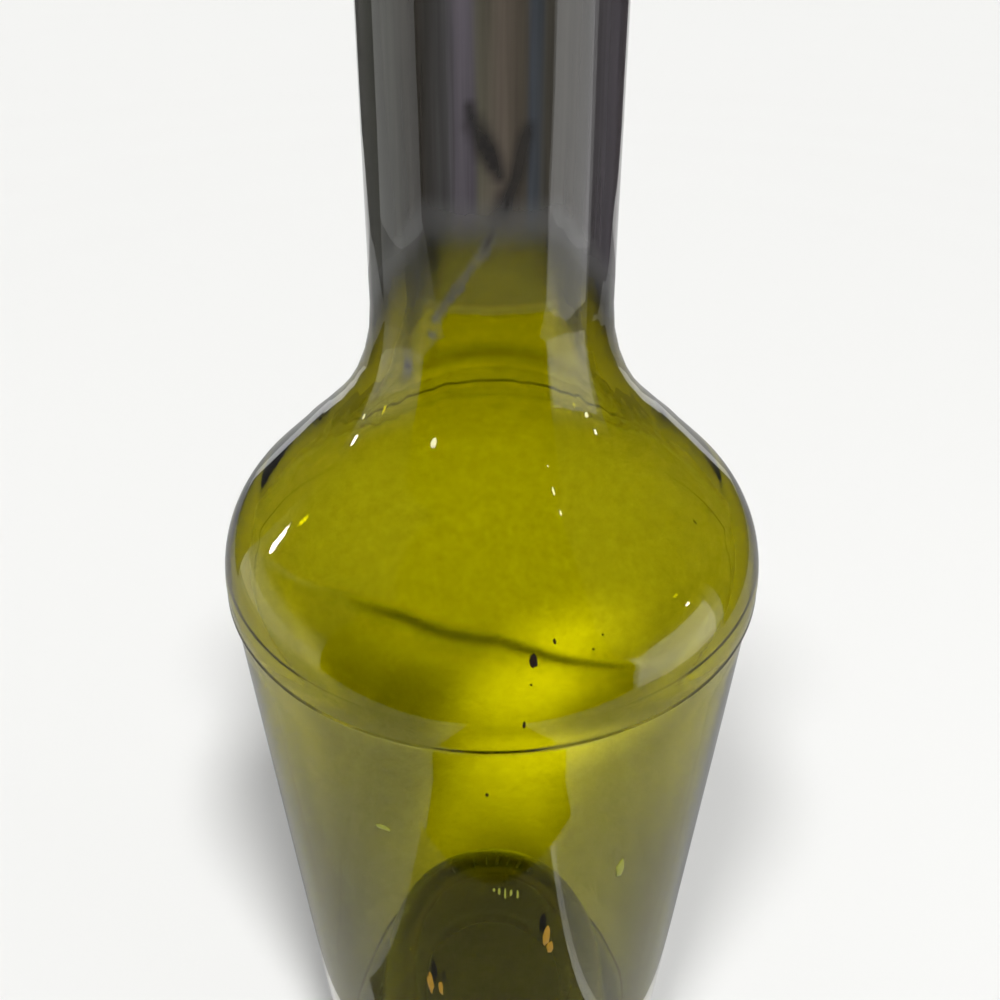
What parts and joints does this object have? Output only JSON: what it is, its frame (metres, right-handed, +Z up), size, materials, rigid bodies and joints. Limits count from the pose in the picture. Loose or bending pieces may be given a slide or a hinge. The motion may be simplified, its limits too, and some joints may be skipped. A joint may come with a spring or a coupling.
{
  "type": "glass bottle",
  "caption": "Empty olive green glass bottle with a round sloping shoulder, a raised mould ring and a long tapering neck.",
  "frame": {"origin": "centre of the base, on the surface that the bottle stands on", "axes": "+Z up along the axis of the bottle, from the base to the mouth; the bottle is round, so X and Y are free"},
  "size_m": [0.0768, 0.0768, 0.255],
  "materials": {
    "glass": "glossy olive green bottle glass, clear enough to see through"
  },
  "bodies": {
    "root": {"glass_bottle": "glass"}
  },
  "joints": []
}
